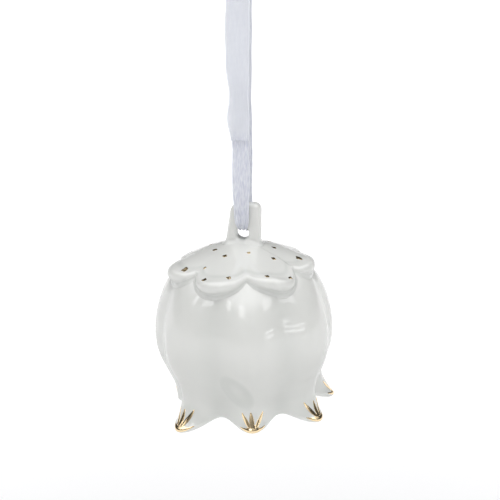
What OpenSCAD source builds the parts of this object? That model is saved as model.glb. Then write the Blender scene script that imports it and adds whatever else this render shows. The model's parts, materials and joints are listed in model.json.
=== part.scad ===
// Porcelain flower bell on a ribbon: a fluted, seven-petalled bell with a lobed calyx cap,
// a pierced hanging lug, gold overglaze marks, and a wired clapper inside.
// +Z is up. The origin is the top of the ribbon loop, where a hook or twig carries it.
// The lug's hole runs along Y, and the ribbon passes through it from front (-Y) to back.

/* [Bell] */
// Greatest width of the body across two ridges
body_d = 50; // [46:1:56]
// Thickness of the porcelain wall
wall = 2.3; // [1.8:0.1:2.8]
// How far the petal tips flare out past the waist
tip_flare = 5.5; // [2:0.5:7]
// How deep the valleys between the petals are, as a part of the radius
flute = 0.055; // [0.02:0.005:0.08]
// Turn of the first petal from the front
petal_turn = 14; // [-25:1:25]
// How far the bell hangs off upright
hang_tilt = 2; // [0:0.1:3]

/* [Calyx] */
// Radius of each lobe's round end
lobe_r = 7.2; // [6.8:0.1:7.6]
// Thickness of the lobes' rolled edge
lobe_edge = 3.9; // [3:0.1:4]
// Diameter of the gold dots
dot_d = 1.5; // [1:0.1:2]

/* [Lug and ribbon] */
// Thickness of the hanging lug
lug_t = 3.4; // [3:0.1:4]
// Diameter of the hole in the lug
hole_d = 3.6; // [3.5:0.1:4]
// Height of the lug above the crown
lug_h = 11; // [10.5:0.5:13]
// Width of the flat ribbon
ribbon_w = 6.5; // [6:0.5:8]
// Height of the loop above the hole
loop_h = 74; // [60:1:120]

/* [Clapper] */
// Diameter of the clapper's bead
bead_d = 10; // [8:0.5:11]
// Diameter of the clapper wire
wire_d = 0.7; // [0.6:0.05:0.8]
// Drop from the wire eye to the centre of the bead
bead_drop = 23; // [18:0.5:23]

/* [Hidden] */

petals = 7;
sweep = 360 / petals;
petal_steps = 12;
around = petals * petal_steps;

porcelain = "#eef0ee";
gold = "#c8962e";
brass_wire = "#c9a14a";
ribbon_white = "#e6e8f4";

// Height of the hole above the crown, and how far it sits to one side of the bell's axis
hole_z = 2.4;
hole_x = 0.7;

// ---- smooth curves through a few points ----
// Catmull-Rom curve through a list of points, u from 0 to 1
function knot(p, i) = p[max(0, min(len(p) - 1, i))];
function curve_at(p, u) =
    let (s = u * (len(p) - 1), i = min(floor(s), len(p) - 2), f = s - i,
         a = knot(p, i - 1), b = knot(p, i), c = knot(p, i + 1), d = knot(p, i + 2))
    0.5 * (2 * b + (c - a) * f + (2 * a - 5 * b + 4 * c - d) * f * f
           + (3 * b - a - 3 * c + d) * f * f * f);

// ---- the bell's outer surface ----
// Radius and depth below the crown along a ridge, for a body 50 wide
ridge = [[0, 1.8], [7, 2.5], [12.5, 4.3], [17, 6.8], [20.4, 9.9], [22.8, 13.8], [24.6, 18.6], [25.6, 23.4],
         [25.8, 27.6], [25.3, 31.6], [24, 35.2], [22.3, 38.6], [20.8, 41.8], [20.5, 45.6]];
arch_z = 45.6;
tip_z = 48.8;
// Each petal's own flare, hand-pulled so that no two are quite alike
flares = [0.5, 0.8, 1, 0.75, 0.9, -0.1, 1.05];
// Angle from the middle of the nearest petal, and that petal's number
function petal_no(a) = floor(((a - petal_turn) + 360 + sweep / 2) / sweep) % petals;
function petal_off(a) = ((a - petal_turn) + 360 + sweep / 2) % sweep - sweep / 2;
// 1 on a ridge and 0 in a valley, round in both
function swell(a) =
    let (c = cos(180 * petal_off(a) / sweep), e = 0.4)
    (sqrt(c * c + e * e) - e) / (sqrt(1 + e * e) - e);
// 1 at a petal's tip, falling off quickly beside it
function pinch(a) = pow(cos(180 * petal_off(a) / sweep), 3);
function drop(a) = pow(cos(180 * petal_off(a) / sweep), 2);
// Point on the outer surface, t from 0 at the crown to 1 at the hem, as [radius, depth]
function outer(t, a) =
    let (p = curve_at(ridge, t), low = max(0, (t - 0.8) / 0.2),
         dip = flute * min(1, t * 2.2) * (1 + 0.4 * t) * (1 - swell(a)),
         out = tip_flare * flares[petal_no(a)] * pinch(a) * pow(low, 2),
         down = (tip_z - arch_z) * (0.5 + flares[petal_no(a)] / 2) * drop(a) * pow(low, 1.5))
    [p[0] * body_d / 50 * (1 - dip) + out, p[1] + down];
function outward(t, a) =
    let (h = 0.01, d = outer(min(1, t + h), a) - outer(max(0, t - h), a), n = [d[1], -d[0]])
    n / norm(n);
// Unit direction down along the surface, used for the rounded hem
function along(t, a) = let (n = outward(t, a)) [-n[1], n[0]];
function wall_at(t) = wall * (1 - 0.35 * pow(max(0, (t - 0.7) / 0.3), 2));
function inner(t, a) = outer(t, a) - wall_at(t) * outward(t, a);
function lip(b, a) =
    let (h = wall_at(1) / 2, mid = outer(1, a) - h * outward(1, a))
    mid + h * (cos(b) * outward(1, a) + sin(b) * along(1, a));
// Angle a is counted from the front, to the right as the bell is seen
function place(rz, a) = [rz[0] * sin(a), -rz[0] * cos(a), -rz[1]];
function ring(k) = k * 360 / around;

// ---- solids of revolution-like rings closed by a point at each end ----
module ringed(rings, first, last) {
    n = len(rings);
    points = concat([first], [for (r = rings) each r], [last]);
    at = function (i, k) 1 + i * around + (k % around);
    end = 1 + n * around;
    faces = concat(
        [for (k = [0 : around - 1]) [0, at(0, k + 1), at(0, k)]],
        [for (i = [0 : n - 2], k = [0 : around - 1], second = [0, 1])
            second == 0 ? [at(i, k), at(i + 1, k + 1), at(i + 1, k)]
                        : [at(i, k), at(i, k + 1), at(i + 1, k + 1)]],
        [for (k = [0 : around - 1]) [end, at(n - 1, k), at(n - 1, k + 1)]]);
    polyhedron(points, faces, convexity = 6);
}

// Everything on the bell leans with it about the lug's hole
module on_bell() {
    translate([0, 0, -loop_h]) rotate([0, -hang_tilt, 0]) translate([-hole_x, 0, -hole_z]) children();
}

module bell_shell() {
    outside = [for (i = [1 : 30]) [for (k = [0 : around - 1]) place(outer(i / 30, ring(k)), ring(k))]];
    hem = [for (b = [45, 90, 135]) [for (k = [0 : around - 1]) place(lip(b, ring(k)), ring(k))]];
    inside = [for (i = [20 : -1 : 1]) [for (k = [0 : around - 1]) place(inner(i / 20, ring(k)), ring(k))]];
    color(porcelain) on_bell()
        ringed(concat(outside, hem, inside), [0, 0, -ridge[0][1]], [0, 0, -ridge[0][1] - wall]);
}

// ---- the calyx cap ----
lobe_turn = petal_turn + sweep / 2;
lobe_at = 15;
// Each lobe's own reach
reaches = [1, 0.93, 0.85, 0.86, 0.84, 0.97, 1];
// How far each lobe's edge sags, and how much more it sags on its right side
droops = [0.4, 0.1, 0.7, 0.8, 0.7, 0.3, 0.1];
leans = [0.8, 0, 0, 0, 0, 0, -0.3];
function lobe_no(a) = floor(((a - lobe_turn) + 360 + sweep / 2) / sweep) % petals;
function lobe_off(a) = ((a - lobe_turn) + 360 + sweep / 2) % sweep - sweep / 2;
function rim(a) =
    let (s = lobe_at * sin(lobe_off(a)))
    (lobe_at * cos(lobe_off(a)) + sqrt(lobe_r * lobe_r - s * s))
    * (1 + (reaches[lobe_no(a)] - 1) * cos(180 * lobe_off(a) / sweep));
// Depth of the cap's top: a low cone with a round crown
cap_slope = 0.34;
function cap_depth(r) = cap_slope * (sqrt(r * r + 16) - 4);
function edge_at(a) = lobe_edge * (0.6 + 0.4 * cos(180 * lobe_off(a) / sweep)) / 2;
// The top sinks a little towards each notch, and with each lobe's sagging edge
function sag(q, a) =
    let (turn = 180 * lobe_off(a) / sweep)
    pow(q, 5) * (0.4 * (1 - cos(2 * turn)) + droops[lobe_no(a)] * pow(max(0, cos(turn)), 1.5)
                 + leans[lobe_no(a)] * sin(2 * turn));
function cap_top(q, a) = let (r = q * (rim(a) - edge_at(a))) [r, cap_depth(r) + sag(q, a)];
// The rolled edge, b from 0 on top to 180 underneath
function cap_edge(b, a) =
    let (h = edge_at(a), r = rim(a) - h)
    [r + h * sin(b), cap_depth(r) + sag(1, a) + h * (1 - cos(b))];
// The outer surface's depth at radius r, a little below it, where the cap is bedded on the shell
function bed(r, a) =
    let (t0 = [for (i = [0 : 24]) i / 60],
         hit = [for (i = [0 : 23]) let (p = outer(t0[i], a), q = outer(t0[i + 1], a))
                if (p[0] <= r && r < q[0]) p[1] + (q[1] - p[1]) * (r - p[0]) / (q[0] - p[0])])
    hit[0] + 0.3;
bed_steps = 6;
function cap_bed(i, a) =
    let (r0 = min(rim(a) - 1.6 * edge_at(a), 18.2), r = r0 * (1 - i / bed_steps))
    [r, bed(r, a)];

module calyx_cap() {
    top = [for (i = [1 : 9]) [for (k = [0 : around - 1]) place(cap_top(i / 9, ring(k)), ring(k))]];
    edge = [for (b = [36 : 36 : 180]) [for (k = [0 : around - 1]) place(cap_edge(b, ring(k)), ring(k))]];
    under = [for (i = [0 : bed_steps - 1]) [for (k = [0 : around - 1]) place(cap_bed(i, ring(k)), ring(k))]];
    color(porcelain) on_bell()
        ringed(concat(top, edge, under), [0, 0, 0], [0, 0, -ridge[0][1] - 0.3]);
}

// ---- the hanging lug, a leaning tab pierced front to back ----
module lug_corner(x, z, r) {
    translate([x, lug_t / 2, z]) rotate([90, 0, 0]) cylinder(h = lug_t, r = r, $fn = 32);
}

module hanging_lug() {
    bevel = 0.5;
    color(porcelain) on_bell() difference() {
        hull() {
            lug_corner(-3.5, -0.9, 0.9);
            lug_corner(4.7, -0.9, 0.9);
            lug_corner(0.1, lug_h - 2.8, 2.8);
            lug_corner(4, lug_h - 2, 2);
        }
        translate([hole_x, 0, hole_z]) rotate([90, 0, 0])
            cylinder(h = 2 * lug_t, d = hole_d, center = true, $fn = 48);
        for (side = [-1, 1])
            translate([hole_x, side * (lug_t / 2 - bevel), hole_z]) rotate([-90 * side, 0, 0])
                cylinder(h = 2 * bevel, d1 = hole_d, d2 = hole_d + 4 * bevel, $fn = 48);
    }
}

// ---- the clapper's loop under the crown ----
crown_in = ridge[0][1] + wall;
link_bore = 1.2;
link_hole_z = crown_in + 3.6;
ear_t = 2;
ear_r = 2.2;
module clapper_lug() {
    color(porcelain) on_bell() difference() {
        union() {
            translate([0, 0, -link_hole_z]) rotate([0, 90, 0])
                cylinder(h = ear_t, r = ear_r, center = true, $fn = 48);
            translate([-ear_t / 2, -ear_r, -link_hole_z])
                cube([ear_t, 2 * ear_r, link_hole_z - crown_in + 0.7]);
        }
        translate([0, 0, -link_hole_z]) rotate([0, 90, 0])
            cylinder(h = 2 * ear_t, r = link_bore, center = true, $fn = 48);
    }
}

// ---- gold dots on the calyx, dabbed on by hand ----
// [lobe, distance from the axis, angle from the lobe's middle, size]
dots = [[0, 19.4, -9, 1], [0, 19.8, 12, 0.9], [0, 7.6, -14, 0.8], [0, 12.2, 17, 1],
        [1, 16.4, -6, 1.4], [1, 9.3, 0, 1],
        [2, 17, 8, 1.1], [2, 9.5, -8, 0.9],
        [3, 17.2, -9, 1], [3, 16.8, 10, 1], [3, 8.4, 3, 0.9],
        [4, 17, -8, 1.1], [4, 9.8, 8, 0.9],
        [5, 18, 12, 1.4], [5, 8, 5, 1],
        [6, 19.6, -10, 1.1], [6, 18.6, 11, 1], [6, 9.2, -8, 1], [6, 15, -21, 0.7]];
function dot_depth(r, a) = cap_depth(r) + sag(min(1, r / (rim(a) - edge_at(a))), a);
module gold_dot(r, a, size) {
    slope = atan(dot_depth(r + 0.5, a) - dot_depth(r - 0.5, a));
    rotate([0, 0, a]) translate([0, -r, -dot_depth(r, a)]) rotate([slope, 0, 0]) translate([0, 0, -0.2])
        cylinder(h = 0.35, d = dot_d * size, $fn = 24);
}

module calyx_gilding() {
    color(gold) on_bell()
        for (d = dots)
            gold_dot(d[1], lobe_turn + d[0] * sweep + d[2], d[3]);
}

// ---- gold strokes on the petal tips ----
// Three strokes fan out from each tip: [angle off the tip at the top, start height as t]
strokes = [[-7.5, 0.938], [0, 0.926], [7.5, 0.938]];
stroke_steps = 5;
gilt = 0.15;
function stroke_point(tip, s, i, side, lift) =
    let (f = i / stroke_steps, t = 0.995 - f * (0.995 - s[1]),
         a = tip + s[0] * (0.25 + 0.75 * f) + side * (0.6 + 1.3 * sin(180 * f)))
    place(outer(t, a) + lift * outward(t, a), a);
module stroke(tip, s) {
    points = [for (i = [0 : stroke_steps], c = [[-1, -gilt], [1, -gilt], [1, gilt], [-1, gilt]])
        stroke_point(tip, s, i, c[0], c[1])];
    ends = [[3, 2, 1, 0], [for (c = [0 : 3]) 4 * stroke_steps + c]];
    sides = [for (i = [0 : stroke_steps - 1], c = [0 : 3])
        [4 * i + c, 4 * i + (c + 1) % 4, 4 * i + 4 + (c + 1) % 4, 4 * i + 4 + c]];
    polyhedron(points, concat([for (f = ends) f], sides), convexity = 2);
}

module tip_gilding() {
    color(gold) on_bell()
        for (p = [0 : petals - 1], s = strokes)
            stroke(petal_turn + p * sweep, s);
}

// ---- the clapper: a ring through the loop, an eyed wire, a bead and its crimp ----
// It hangs plumb, so its pieces are placed under the loop's hole and don't lean
ear_dx = -hole_x;
ear_dz = -hole_z - link_hole_z;
link_x = ear_dx * cos(hang_tilt) - ear_dz * sin(hang_tilt);
link_top = -loop_h + ear_dx * sin(hang_tilt) + ear_dz * cos(hang_tilt) - 0.3;
wire_r = wire_d / 2;
link_r = 2.4;
link_gap = 0.2;
eye_r = 1.6;
eye_top = link_top - 2 * link_r + wire_d + link_gap;
bead_z = eye_top - bead_drop;
module wire_ring(r) {
    rotate_extrude($fn = 64) translate([r, 0]) circle(r = wire_r, $fn = 24);
}

module clapper_link() {
    color(brass_wire) translate([link_x, 0, link_top - link_r]) rotate([90, 0, 0]) wire_ring(link_r);
}

module clapper_wire() {
    stem_bottom = bead_z - bead_d / 2 - 1.8;
    color(brass_wire) union() {
        translate([link_x, 0, eye_top - eye_r]) rotate([0, 90, 0]) wire_ring(eye_r);
        translate([link_x, 0, stem_bottom])
            cylinder(h = eye_top - 2 * eye_r - stem_bottom, r = wire_r, $fn = 24);
    }
}

module clapper_bead() {
    color(porcelain) translate([link_x, 0, bead_z]) difference() {
        sphere(d = bead_d, $fn = 64);
        cylinder(h = 2 * bead_d, r = wire_r + 0.05, center = true, $fn = 24);
    }
}

module clapper_crimp() {
    crimp_h = 1.3;
    color(brass_wire) translate([link_x, 0, bead_z - bead_d / 2 - crimp_h]) difference() {
        cylinder(h = crimp_h, r = 1, $fn = 32);
        translate([0, 0, -1]) cylinder(h = crimp_h + 2, r = wire_r, $fn = 24);
    }
}

// ---- the ribbon: one length, through the hole and lapped on itself in front ----
// Route as [x, y, z above the hole, width, thickness], from the outer cut end, up the front, over
// the loop, down the back, through the hole and up to the inner end behind the lap
lh = loop_h;
rw = ribbon_w;
half = lug_t / 2 + 1;
route = [
    [-0.3, -half - 0.7, 27, rw - 1.6, 0.4], [-0.8, -half - 0.7, 33, rw - 0.5, 0.4],
    [-0.6, -half - 0.6, 40, rw - 1, 0.4], [-1.1, -half - 0.3, 48, rw, 0.4],
    [-1.1, -half, lh - 14, rw, 0.4], [-0.8, -half, lh - 2.7, rw, 0.4],
    [-0.7, -2.3, lh - 1.1, rw, 0.4], [-0.6, -1.3, lh - 0.1, rw, 0.4], [-0.6, 0, lh + 0.2, rw, 0.4],
    [-0.6, 1.3, lh - 0.1, rw, 0.4], [-0.7, 2.3, lh - 1.1, rw, 0.4], [-0.8, half, lh - 2.7, rw, 0.4],
    [-1.1, half, lh - 14, rw, 0.4], [-1.1, half, 46, rw, 0.4], [-0.6, half, 36, rw - 1, 0.4],
    [-0.2, half, 24, 4.9, 0.5], [-0.2, half, 13, 4.7, 0.6], [-0.1, half, 6.5, 4.2, 0.8],
    [0, half, 3.8, 3, 0.8], [0, half - 0.25, 2.4, 2.4, 0.8], [0, half - 1.1, 1.2, 2.2, 0.8],
    [0, 0.5, 0.9, 2.2, 0.8], [0, -0.5, 0.9, 2.2, 0.8],
    [0, 1.1 - half, 1.2, 2.2, 0.8], [0, 0.25 - half, 2.4, 2.4, 0.8], [0, -half, 3.8, 3, 0.8],
    [-0.1, -half, 6.5, 4.2, 0.8], [-0.2, -half, 13, 4.7, 0.6], [-0.2, -half, 24, 4.9, 0.4],
    [-0.2, -half, 34, 4.6, 0.4], [-0.2, -half, 43, 4.4, 0.4]];
ribbon_sides = 10;
function heading(i) =
    let (a = knot(route, i - 1), b = knot(route, i + 1), d = [b[1] - a[1], b[2] - a[2]]) d / norm(d);
function ribbon_ring(i) =
    let (p = route[i], h = heading(i))
    [for (k = [0 : ribbon_sides - 1]) let (b = k * 360 / ribbon_sides, s = p[4] / 2 * sin(b))
        [p[0] + p[3] / 2 * cos(b), p[1] - s * h[1], p[2] - loop_h + s * h[0]]];

module hanging_ribbon() {
    n = len(route);
    m = ribbon_sides;
    points = [for (i = [0 : n - 1]) each ribbon_ring(i)];
    faces = concat(
        [[for (k = [m - 1 : -1 : 0]) k]],
        [for (i = [0 : n - 2], k = [0 : m - 1])
            [m * i + k, m * i + (k + 1) % m, m * (i + 1) + (k + 1) % m, m * (i + 1) + k]],
        [[for (k = [0 : m - 1]) m * (n - 1) + k]]);
    color(ribbon_white) polyhedron(points, faces, convexity = 6);
}

bell_shell();
calyx_cap();
hanging_lug();
clapper_lug();
calyx_gilding();
tip_gilding();
clapper_link();
clapper_wire();
clapper_bead();
clapper_crimp();
hanging_ribbon();
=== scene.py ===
import json
import math

import bpy
import numpy as np
from mathutils import Matrix, Vector
from mathutils.bvhtree import BVHTree

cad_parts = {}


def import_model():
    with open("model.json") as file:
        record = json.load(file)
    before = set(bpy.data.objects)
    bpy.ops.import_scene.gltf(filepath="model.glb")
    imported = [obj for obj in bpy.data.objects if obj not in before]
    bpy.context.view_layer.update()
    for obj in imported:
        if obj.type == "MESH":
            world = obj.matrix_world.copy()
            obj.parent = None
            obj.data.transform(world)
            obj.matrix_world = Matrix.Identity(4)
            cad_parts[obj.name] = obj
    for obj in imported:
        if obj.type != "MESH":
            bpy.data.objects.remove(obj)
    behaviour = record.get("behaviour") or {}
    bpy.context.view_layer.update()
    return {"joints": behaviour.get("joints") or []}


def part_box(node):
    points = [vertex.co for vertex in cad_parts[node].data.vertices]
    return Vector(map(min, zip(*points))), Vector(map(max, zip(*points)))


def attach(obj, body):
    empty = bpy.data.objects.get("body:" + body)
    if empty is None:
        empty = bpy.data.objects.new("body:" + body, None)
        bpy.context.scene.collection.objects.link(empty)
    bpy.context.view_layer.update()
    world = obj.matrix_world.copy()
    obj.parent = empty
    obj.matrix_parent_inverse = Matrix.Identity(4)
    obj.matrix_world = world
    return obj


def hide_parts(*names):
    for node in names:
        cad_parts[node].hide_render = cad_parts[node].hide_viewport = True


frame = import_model()
joints = {j["name"]: j for j in frame["joints"]}

# ---- sizes ----
# In millimetres and degrees. They are the CAD model's own, but for three lobes that sag further and
# the ribbon's route. A place on the bell is [radius, depth below the crown] at an angle a, which is
# counted from the front (-Y) towards the right (+X).
MM = 0.001
BODY_D = 50
WALL = 2.3
TIP_FLARE = 5.5
FLUTE = 0.055
PETALS = 7
SWEEP = 360 / PETALS
PETAL_TURN = 14
HANG_TILT = 2
# The petals' ridge from the crown to the hem as [radius, depth], drawn for a BODY_D of RIDGE_D
RIDGE_D = 50
RIDGE = np.array([
    [0, 1.8], [7, 2.5], [12.5, 4.3], [17, 6.8], [20.4, 9.9], [22.8, 13.8], [24.6, 18.6], [25.6, 23.4],
    [25.8, 27.6], [25.3, 31.6], [24, 35.2], [22.3, 38.6], [20.8, 41.8], [20.5, 45.6]])
ARCH_Z = 45.6
TIP_Z = 48.8
FLARES = np.array([0.5, 0.8, 1, 0.75, 0.9, -0.1, 1.05])  # each petal's share of TIP_FLARE

LOBE_TURN = PETAL_TURN + SWEEP / 2
LOBE_AT = 15
LOBE_R = 7.2
LOBE_EDGE = 3.9
REACHES = np.array([1, 0.93, 0.85, 0.86, 0.84, 0.97, 1])  # how far out each lobe reaches
DROOPS = np.array([0.4, 0.1, 0.9, 1.3, 1.1, 0.3, 0.1])  # how far each lobe's edge sags
LEANS = np.array([0.8, 0, 0, 0, 0, 0, -0.3])  # and how much more it sags on its right side
CAP_SLOPE = 0.34
CAP_ROUND = 4

HOLE = np.array([0.7, 2.4])  # the lug's hole, as x and height above the crown
HOLE_R = 1.8
LUG_T = 3.4
LUG_CORNERS = np.array([[-3.5, -0.9, 0.9], [4.7, -0.9, 0.9], [0.1, 8.2, 2.8], [4, 9, 2]])

CROWN_IN = RIDGE[0][1] + WALL
EAR_HOLE = CROWN_IN + 3.6
EAR_HOLE_R = 1.2
EAR_T = 2
EAR_R = 2.2

LINK_R = 2.4
EYE_R = 1.6
WIRE_R = 0.35
WIRE_DOME = 0.6  # how far a wire's domed end stands out, as a part of its radius

# The ribbon's route as [x, y, height above the hole, width, thickness], from the outer cut end up
# the front, over the loop, down the back, through the hole and up to the end behind the lap. It is
# the CAD's, but up to 0.9 mm wider at the hole, with its back leg up to 0.3 mm further left.
LOOP_H = 74
WIDE = 6.5
HALF = LUG_T / 2 + 1
ROUTE = np.array([
    [-0.3, -HALF - 0.7, 27, WIDE - 1.6, 0.4], [-0.8, -HALF - 0.7, 33, WIDE - 0.5, 0.4],
    [-0.6, -HALF - 0.6, 40, WIDE - 1, 0.4], [-1.1, -HALF - 0.3, 48, WIDE, 0.4],
    [-1.1, -HALF, LOOP_H - 14, WIDE, 0.4], [-0.8, -HALF, LOOP_H - 2.7, WIDE, 0.4],
    [-0.7, -2.3, LOOP_H - 1.1, WIDE, 0.4], [-0.6, -1.3, LOOP_H - 0.1, WIDE, 0.4],
    [-0.6, 0, LOOP_H + 0.2, WIDE, 0.4], [-0.6, 1.3, LOOP_H - 0.1, WIDE, 0.4],
    [-0.7, 2.3, LOOP_H - 1.1, WIDE, 0.4], [-1.0, HALF, LOOP_H - 2.7, WIDE, 0.4],
    [-1.4, HALF, LOOP_H - 14, WIDE, 0.4], [-1.4, HALF, 46, WIDE, 0.4], [-0.9, HALF, 36, WIDE - 1, 0.4],
    [-0.45, HALF, 24, 4.9, 0.5], [-0.4, HALF, 13, 4.7, 0.6], [-0.1, HALF, 6.5, 4.2, 0.8],
    [0, HALF, 3.8, 3.9, 0.8], [0, HALF - 0.25, 2.4, 3.3, 0.8], [0, HALF - 1.1, 1.2, 2.5, 0.8],
    [0, 0.5, 0.9, 2.4, 0.8], [0, -0.5, 0.9, 2.4, 0.8],
    [0, 1.1 - HALF, 1.2, 2.5, 0.8], [0, 0.25 - HALF, 2.4, 3.3, 0.8], [0, -HALF, 3.8, 3.9, 0.8],
    [-0.1, -HALF, 6.5, 4.2, 0.8], [-0.2, -HALF, 13, 4.7, 0.6], [-0.2, -HALF, 24, 4.9, 0.4],
    [-0.2, -HALF, 34, 4.6, 0.4], [-0.2, -HALF, 43, 4.4, 0.4]])

PIVOT = Vector(joints["bell_swing"]["pos_m"])
ON_BELL = (Matrix.Translation(PIVOT) @ Matrix.Rotation(math.radians(-HANG_TILT), 4, "Y")
           @ Matrix.Scale(MM, 4) @ Matrix.Translation((-HOLE[0], 0, -HOLE[1])))
AT_HOLE = Matrix.Translation(PIVOT) @ Matrix.Scale(MM, 4)


# ---- small helpers ----
def sin_d(a):
    return np.sin(np.radians(a))


def cos_d(a):
    return np.cos(np.radians(a))


def smoothstep(x, low, high):
    """A soft step: 0 below low, 1 above high."""
    s = np.clip((x - low) / (high - low), 0, 1)
    return s * s * (3 - 2 * s)


def moved(points, matrix):
    """Points as an array, put through a 4 by 4 matrix."""
    m = np.array(matrix)
    return np.asarray(points).reshape(-1, 3) @ m[:3, :3].T + m[:3, 3]


def mm_round(point):
    """The matrix that places millimetres round a point."""
    return Matrix.Translation(point) @ Matrix.Scale(MM, 4)


def curve_at(points, u):
    """Catmull-Rom curve through points, u from 0 to 1."""
    p = np.vstack([points[:1], points, points[-1:]])
    s = np.asarray(u, float) * (len(points) - 1)
    i = np.clip(np.floor(s), 0, len(points) - 2).astype(int)
    f = (s - i)[..., None]
    a, b, c, d = p[i], p[i + 1], p[i + 2], p[i + 3]
    return 0.5 * (2 * b + (c - a) * f + (2 * a - 5 * b + 4 * c - d) * f**2
                  + (3 * b - a - 3 * c + d) * f**3)


def grid_faces(rows, columns, wrap_columns=True, wrap_rows=False, first=0):
    """Quads over a grid of points stored row after row."""
    i, k = np.meshgrid(np.arange(rows if wrap_rows else rows - 1),
                       np.arange(columns if wrap_columns else columns - 1), indexing="ij")
    i, k, down, right = i.ravel(), k.ravel(), (i.ravel() + 1) % rows, (k.ravel() + 1) % columns
    return (first + np.stack([i * columns + k, i * columns + right,
                              down * columns + right, down * columns + k], 1)).tolist()


def mesh_object(name, points, faces, values=None, uv=None):
    """A smooth-shaded mesh in metres, with named values at its points and a UV for each point."""
    mesh = bpy.data.meshes.new(name)
    mesh.from_pydata(np.asarray(points).tolist(), [], faces)
    mesh.polygons.foreach_set("use_smooth", [True] * len(mesh.polygons))
    for key, column in (values or {}).items():
        layer = mesh.attributes.new(key, "FLOAT", "POINT")
        layer.data.foreach_set("value", np.asarray(column, np.float32))
    if uv is not None:
        corners = np.zeros(len(mesh.loops), np.int32)
        mesh.loops.foreach_get("vertex_index", corners)
        flat = np.asarray(uv, np.float32)[corners].ravel()
        mesh.uv_layers.new(name="flat").data.foreach_set("uv", flat)
    mesh.validate()
    made = bpy.data.objects.new(name, mesh)
    bpy.context.scene.collection.objects.link(made)
    return made


def finish_piece(piece, body, node, material):
    """Every piece stands for one CAD node, rides on that node's body and has a material."""
    piece.data.materials.append(material)
    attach(piece, body)
    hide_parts(node)
    return piece


def closed_rings(rings, first, last):
    """Points and faces of a closed skin: a point, rings of points, and a point."""
    columns = len(rings[0])
    points = np.vstack([[first], *rings, [last]])
    end = len(points) - 1
    tail = end - columns
    faces = [[0, 1 + (k + 1) % columns, 1 + k] for k in range(columns)]
    faces += [face[::-1] for face in grid_faces(len(rings), columns, first=1)]
    faces += [[end, tail + k, tail + (k + 1) % columns] for k in range(columns)]
    return points, faces


def tube(path, radius, sides=20):
    """A round wire along a path, with domed ends."""
    not_along = [0.3, 0.5, 0.8]
    path = np.asarray(path, float)
    tangent = np.gradient(path, axis=0)
    tangent /= np.linalg.norm(tangent, axis=1)[:, None]
    side = np.cross(tangent[0], not_along)
    turn = np.linspace(0, 2 * math.pi, sides, endpoint=False)
    rings = []
    for p, t in zip(path, tangent):
        side = side - t * (side @ t)
        side /= np.linalg.norm(side)
        up = np.cross(t, side)
        rings.append(p + radius * (np.cos(turn)[:, None] * side + np.sin(turn)[:, None] * up))
    for end, sign in ((0, -1), (-1, 1)):
        centre, t = path[end], tangent[end]
        rim = rings[end] - centre
        domes = [centre + rim * cos_d(b) + sign * t * radius * WIRE_DOME * sin_d(b) for b in (35, 65)]
        rings = domes[::-1] + rings if end == 0 else rings + domes
    tips = [path[0] - tangent[0] * radius * WIRE_DOME, path[-1] + tangent[-1] * radius * WIRE_DOME]
    return closed_rings(rings, *tips)


def lathe(profile, columns, shape):
    """A closed ring-shaped skin: a closed profile of [radius, height] turned about Z, with each
    point put where shape(radius, height, angle) says."""
    profile = np.asarray(profile, float)
    a = np.linspace(0, 360, columns, endpoint=False)[None, :]
    r, z = shape(profile[:, :1] + 0 * a, profile[:, 1:] + 0 * a, a)
    points = np.stack([r * cos_d(a), r * sin_d(a), z + 0 * a], -1).reshape(-1, 3)
    return points, grid_faces(len(profile), columns, wrap_rows=True)


# ---- materials ----
def new_material(name):
    """A material with its node tree and its shader node."""
    material = bpy.data.materials.new(name)
    material.use_nodes = True
    return material, material.node_tree, material.node_tree.nodes["Principled BSDF"]


def add_node(tree, kind, settings=None, **inputs):
    """A shader node; an input's value is a constant, or a socket to link."""
    made = tree.nodes.new("ShaderNode" + kind)
    for key, value in (settings or {}).items():
        setattr(made, key, value)
    for key, value in inputs.items():
        socket = made.inputs[key.replace("_", " ")]
        if isinstance(value, bpy.types.NodeSocket):
            tree.links.new(value, socket)
        else:
            socket.default_value = value
    return made


def noise(tree, where, scale, detail=3.0):
    """Noise from 0 to 1, with about scale spots in each unit of length."""
    return add_node(tree, "TexNoise", Vector=where, Scale=scale, Detail=detail).outputs["Fac"]


def blend_colours(tree, share, low, high):
    """A colour ramp from one colour to another."""
    ramp = add_node(tree, "ValToRGB", Fac=share)
    ramp.color_ramp.elements[0].color = (*low, 1)
    ramp.color_ramp.elements[1].color = (*high, 1)
    return ramp


def rescale(tree, value, low, high, from_low=0.0, from_high=1.0):
    """A value of from_low to from_high, stretched to run from low to high."""
    made = add_node(tree, "MapRange", Value=value, From_Min=from_low, From_Max=from_high,
                    To_Min=low, To_Max=high)
    return made.outputs["Result"]


def object_place(tree, stretch=(1, 1, 1)):
    """Where a point is on its own object, in metres, stretched along each axis."""
    place = add_node(tree, "TexCoord").outputs["Object"]
    return add_node(tree, "Mapping", Vector=place, Scale=stretch).outputs["Vector"]


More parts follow.
